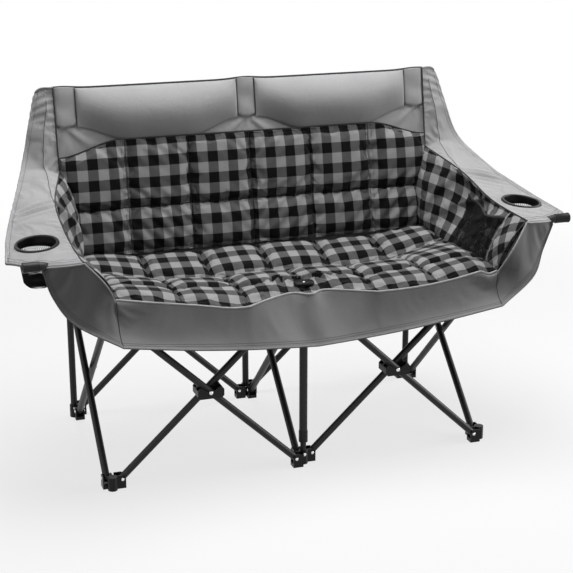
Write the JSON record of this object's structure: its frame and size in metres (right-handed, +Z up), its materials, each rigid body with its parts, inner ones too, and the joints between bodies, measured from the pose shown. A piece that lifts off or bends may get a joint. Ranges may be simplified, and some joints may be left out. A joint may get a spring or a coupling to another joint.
{
  "type": "folding camping loveseat",
  "caption": "Folding two-person camping seat: scissor-linked steel tube frame, quilted check seat and back, padded headrests, arms with cup holders; gathers into an upright bundle.",
  "frame": {"origin": "on the floor below the middle of the seat's bounding box", "axes": "+X across the seat to the viewer's right when facing its front, +Y from front to back, +Z up"},
  "size_m": [1.524, 0.6871, 0.9673],
  "materials": {
    "tube": "black powder coat",
    "plastic": "moulded black",
    "shell_cloth": "grey woven polyester",
    "apron_cloth": "grey woven polyester",
    "plaid_cloth": "black and grey buffalo check, quilted",
    "mesh_cloth": "black open mesh"
  },
  "bodies": {
    "rear_center_post": {"back_post_center": "tube", "foot_rear_center": "plastic", "back_panel": "shell_cloth", "back_pad": "plaid_cloth", "headrest_left": "shell_cloth", "headrest_right": "shell_cloth"},
    "rear_left_post": {"back_post_left": "tube", "foot_rear_left": "plastic", "wing_left": "shell_cloth", "bolster_left": "plaid_cloth"},
    "rear_right_post": {"back_post_right": "tube", "foot_rear_right": "plastic", "wing_right": "shell_cloth", "bolster_right": "plaid_cloth"},
    "tube_rear_left_falling": {"tube_rear_left_falling": "tube", "bracket_rear_left": "plastic"},
    "tube_rear_left_rising": {"tube_rear_left_rising": "tube"},
    "slider_rear_left": {"slider_rear_left": "plastic"},
    "slider_rear_center": {"slider_rear_center": "plastic"},
    "tube_rear_right_rising": {"tube_rear_right_rising": "tube"},
    "tube_rear_right_falling": {"tube_rear_right_falling": "tube", "bracket_rear_right": "plastic"},
    "slider_rear_right": {"slider_rear_right": "plastic"},
    "tube_side_left_rear_foot": {"tube_side_left_rear_foot": "tube"},
    "tube_side_left_front_foot": {"tube_side_left_front_foot": "tube"},
    "foot_front_left": {"foot_front_left": "plastic"},
    "hub_front_left": {"hub_front_left": "plastic"},
    "tube_side_center_rear_foot": {"tube_side_center_rear_foot": "tube"},
    "tube_side_center_front_foot": {"tube_side_center_front_foot": "tube"},
    "foot_front_center": {"foot_front_center": "plastic", "front_post_inner": "tube"},
    "hub_front_center": {"hub_front_center": "plastic", "front_post_outer": "tube", "front_post_collar": "plastic", "seat_knob": "plastic", "front_apron": "apron_cloth"},
    "tube_side_right_rear_foot": {"tube_side_right_rear_foot": "tube"},
    "tube_side_right_front_foot": {"tube_side_right_front_foot": "tube"},
    "foot_front_right": {"foot_front_right": "plastic"},
    "hub_front_right": {"hub_front_right": "plastic"},
    "tube_front_left_falling": {"tube_front_left_falling": "tube", "bracket_front_left": "plastic"},
    "tube_front_left_rising": {"tube_front_left_rising": "tube"},
    "tube_front_right_rising": {"tube_front_right_rising": "tube"},
    "tube_front_right_falling": {"tube_front_right_falling": "tube", "bracket_front_right": "plastic"},
    "arm_left": {"arm_tube_left": "tube", "arm_cap_left": "plastic"},
    "arm_rest_left": {"arm_panel_left": "shell_cloth", "cup_ring_left": "plastic", "cup_pocket_left": "mesh_cloth"},
    "arm_right": {"arm_tube_right": "tube", "arm_cap_right": "plastic"},
    "arm_rest_right": {"arm_panel_right": "shell_cloth", "cup_ring_right": "plastic", "cup_pocket_right": "mesh_cloth"},
    "seat_front": {"seat_pad_front": "plaid_cloth"},
    "seat_rear": {"seat_pad_rear": "plaid_cloth"}
  },
  "joints": [
    {"name": "fold", "type": "hinge", "parent": "rear_center_post", "child": "tube_rear_left_falling", "pos_m": [-0.027, 0.30345, 0.025], "axis": [0, 1, 0], "range_deg": [0, 41], "deforming": ["seat_pad_front", "seat_pad_rear", "back_pad", "back_panel", "headrest_left", "headrest_right", "wing_left", "wing_right", "bolster_left", "bolster_right", "arm_panel_left", "arm_panel_right", "front_apron", "cup_pocket_left", "cup_pocket_right"]},
    {"name": "rear_left_scissor", "type": "hinge", "parent": "tube_rear_left_falling", "child": "tube_rear_left_rising", "pos_m": [-0.2625, 0.31695, 0.2465], "axis": [0, -1, 0], "range_deg": [0, 82]},
    {"name": "rear_left_post_pivot", "type": "hinge", "parent": "tube_rear_left_rising", "child": "rear_left_post", "pos_m": [-0.498, 0.33045, 0.025], "axis": [0, 1, 0], "range_deg": [0, 41]},
    {"name": "rear_left_slider_pivot", "type": "hinge", "parent": "tube_rear_left_falling", "child": "slider_rear_left", "pos_m": [-0.498, 0.30345, 0.468], "axis": [0, -1, 0], "range_deg": [0, 41]},
    {"name": "rear_center_slider_pivot", "type": "hinge", "parent": "tube_rear_left_rising", "child": "slider_rear_center", "pos_m": [-0.027, 0.33045, 0.468], "axis": [0, 1, 0], "range_deg": [0, 41]},
    {"name": "rear_right_foot_pivot", "type": "hinge", "parent": "rear_center_post", "child": "tube_rear_right_rising", "pos_m": [0.027, 0.33045, 0.025], "axis": [0, -1, 0], "range_deg": [0, 41]},
    {"name": "rear_right_scissor", "type": "hinge", "parent": "tube_rear_right_rising", "child": "tube_rear_right_falling", "pos_m": [0.2625, 0.31695, 0.2465], "axis": [0, 1, 0], "range_deg": [0, 82]},
    {"name": "rear_right_post_pivot", "type": "hinge", "parent": "tube_rear_right_falling", "child": "rear_right_post", "pos_m": [0.498, 0.30345, 0.025], "axis": [0, -1, 0], "range_deg": [0, 41]},
    {"name": "rear_right_slider_pivot", "type": "hinge", "parent": "tube_rear_right_rising", "child": "slider_rear_right", "pos_m": [0.498, 0.33045, 0.468], "axis": [0, 1, 0], "range_deg": [0, 41]},
    {"name": "left_foot_pivot", "type": "hinge", "parent": "rear_left_post", "child": "tube_side_left_rear_foot", "pos_m": [-0.5145, 0.28995, 0.025], "axis": [-1, 0, 0], "range_deg": [0, 41]},
    {"name": "left_scissor", "type": "hinge", "parent": "tube_side_left_rear_foot", "child": "tube_side_left_front_foot", "pos_m": [-0.525, 0.05445, 0.2465], "axis": [1, 0, 0], "range_deg": [0, 82]},
    {"name": "left_front_foot_pivot", "type": "hinge", "parent": "tube_side_left_front_foot", "child": "foot_front_left", "pos_m": [-0.5355, -0.18105, 0.025], "axis": [-1, 0, 0], "range_deg": [0, 41]},
    {"name": "left_front_hub_pivot", "type": "hinge", "parent": "tube_side_left_rear_foot", "child": "hub_front_left", "pos_m": [-0.5145, -0.18105, 0.468], "axis": [1, 0, 0], "range_deg": [0, 41]},
    {"name": "center_foot_pivot", "type": "hinge", "parent": "rear_center_post", "child": "tube_side_center_rear_foot", "pos_m": [0.0105, 0.28995, 0.025], "axis": [-1, 0, 0], "range_deg": [0, 41]},
    {"name": "center_scissor", "type": "hinge", "parent": "tube_side_center_rear_foot", "child": "tube_side_center_front_foot", "pos_m": [0, 0.05445, 0.2465], "axis": [1, 0, 0], "range_deg": [0, 82]},
    {"name": "center_front_foot_pivot", "type": "hinge", "parent": "tube_side_center_front_foot", "child": "foot_front_center", "pos_m": [-0.0105, -0.18105, 0.025], "axis": [-1, 0, 0], "range_deg": [0, 41]},
    {"name": "center_front_hub_pivot", "type": "hinge", "parent": "tube_side_center_rear_foot", "child": "hub_front_center", "pos_m": [0.0105, -0.18105, 0.468], "axis": [1, 0, 0], "range_deg": [0, 41]},
    {"name": "right_foot_pivot", "type": "hinge", "parent": "rear_right_post", "child": "tube_side_right_rear_foot", "pos_m": [0.5355, 0.28995, 0.025], "axis": [-1, 0, 0], "range_deg": [0, 41]},
    {"name": "right_scissor", "type": "hinge", "parent": "tube_side_right_rear_foot", "child": "tube_side_right_front_foot", "pos_m": [0.525, 0.05445, 0.2465], "axis": [1, 0, 0], "range_deg": [0, 82]},
    {"name": "right_front_foot_pivot", "type": "hinge", "parent": "tube_side_right_front_foot", "child": "foot_front_right", "pos_m": [0.5145, -0.18105, 0.025], "axis": [-1, 0, 0], "range_deg": [0, 41]},
    {"name": "right_front_hub_pivot", "type": "hinge", "parent": "tube_side_right_rear_foot", "child": "hub_front_right", "pos_m": [0.5355, -0.18105, 0.468], "axis": [1, 0, 0], "range_deg": [0, 41]},
    {"name": "front_left_foot_pivot", "type": "hinge", "parent": "foot_front_center", "child": "tube_front_left_falling", "pos_m": [-0.027, -0.22155, 0.025], "axis": [0, 1, 0], "range_deg": [0, 41]},
    {"name": "front_left_scissor", "type": "hinge", "parent": "tube_front_left_falling", "child": "tube_front_left_rising", "pos_m": [-0.2625, -0.20805, 0.2465], "axis": [0, -1, 0], "range_deg": [0, 82]},
    {"name": "front_right_foot_pivot", "type": "hinge", "parent": "foot_front_center", "child": "tube_front_right_rising", "pos_m": [0.027, -0.19455, 0.025], "axis": [0, -1, 0], "range_deg": [0, 41]},
    {"name": "front_right_scissor", "type": "hinge", "parent": "tube_front_right_rising", "child": "tube_front_right_falling", "pos_m": [0.2625, -0.20805, 0.2465], "axis": [0, 1, 0], "range_deg": [0, 82]},
    {"name": "left_arm_pivot", "type": "hinge", "parent": "hub_front_left", "child": "arm_left", "pos_m": [-0.549, -0.21105, 0.478], "axis": [0, 1, 0], "range_deg": [0, 36]},
    {"name": "left_arm_rest_pivot", "type": "hinge", "parent": "arm_left", "child": "arm_rest_left", "pos_m": [-0.712, -0.25355, 0.619], "axis": [0, 1, 0], "range_deg": [0, 54]},
    {"name": "right_arm_pivot", "type": "hinge", "parent": "hub_front_right", "child": "arm_right", "pos_m": [0.549, -0.21105, 0.478], "axis": [0, -1, 0], "range_deg": [0, 36]},
    {"name": "right_arm_rest_pivot", "type": "hinge", "parent": "arm_right", "child": "arm_rest_right", "pos_m": [0.712, -0.25355, 0.619], "axis": [0, -1, 0], "range_deg": [0, 54]},
    {"name": "seat_front_fold", "type": "hinge", "parent": "hub_front_center", "child": "seat_front", "pos_m": [0, -0.20805, 0.486], "axis": [-1, 0, 0], "range_deg": [0, 77]},
    {"name": "seat_rear_fold", "type": "hinge", "parent": "slider_rear_center", "child": "seat_rear", "pos_m": [0, 0.31695, 0.486], "axis": [1, 0, 0], "range_deg": [0, 77]}
  ],
  "couplings": [
    {"joint": "rear_left_scissor", "follows": "fold", "ratio": 2},
    {"joint": "rear_left_post_pivot", "follows": "fold", "ratio": 1},
    {"joint": "rear_left_slider_pivot", "follows": "fold", "ratio": 1},
    {"joint": "rear_center_slider_pivot", "follows": "fold", "ratio": 1},
    {"joint": "rear_right_foot_pivot", "follows": "fold", "ratio": 1},
    {"joint": "rear_right_scissor", "follows": "fold", "ratio": 2},
    {"joint": "rear_right_post_pivot", "follows": "fold", "ratio": 1},
    {"joint": "rear_right_slider_pivot", "follows": "fold", "ratio": 1},
    {"joint": "left_foot_pivot", "follows": "fold", "ratio": 1},
    {"joint": "left_scissor", "follows": "fold", "ratio": 2},
    {"joint": "left_front_foot_pivot", "follows": "fold", "ratio": 1},
    {"joint": "left_front_hub_pivot", "follows": "fold", "ratio": 1},
    {"joint": "center_foot_pivot", "follows": "fold", "ratio": 1},
    {"joint": "center_scissor", "follows": "fold", "ratio": 2},
    {"joint": "center_front_foot_pivot", "follows": "fold", "ratio": 1},
    {"joint": "center_front_hub_pivot", "follows": "fold", "ratio": 1},
    {"joint": "right_foot_pivot", "follows": "fold", "ratio": 1},
    {"joint": "right_scissor", "follows": "fold", "ratio": 2},
    {"joint": "right_front_foot_pivot", "follows": "fold", "ratio": 1},
    {"joint": "right_front_hub_pivot", "follows": "fold", "ratio": 1},
    {"joint": "front_left_foot_pivot", "follows": "fold", "ratio": 1},
    {"joint": "front_left_scissor", "follows": "fold", "ratio": 2},
    {"joint": "front_right_foot_pivot", "follows": "fold", "ratio": 1},
    {"joint": "front_right_scissor", "follows": "fold", "ratio": 2},
    {"joint": "left_arm_pivot", "follows": "fold", "ratio": 0.87805},
    {"joint": "left_arm_rest_pivot", "follows": "fold", "ratio": 1.3171},
    {"joint": "right_arm_pivot", "follows": "fold", "ratio": 0.87805},
    {"joint": "right_arm_rest_pivot", "follows": "fold", "ratio": 1.3171},
    {"joint": "seat_front_fold", "follows": "fold", "ratio": 1.878},
    {"joint": "seat_rear_fold", "follows": "fold", "ratio": 1.878}
  ]
}
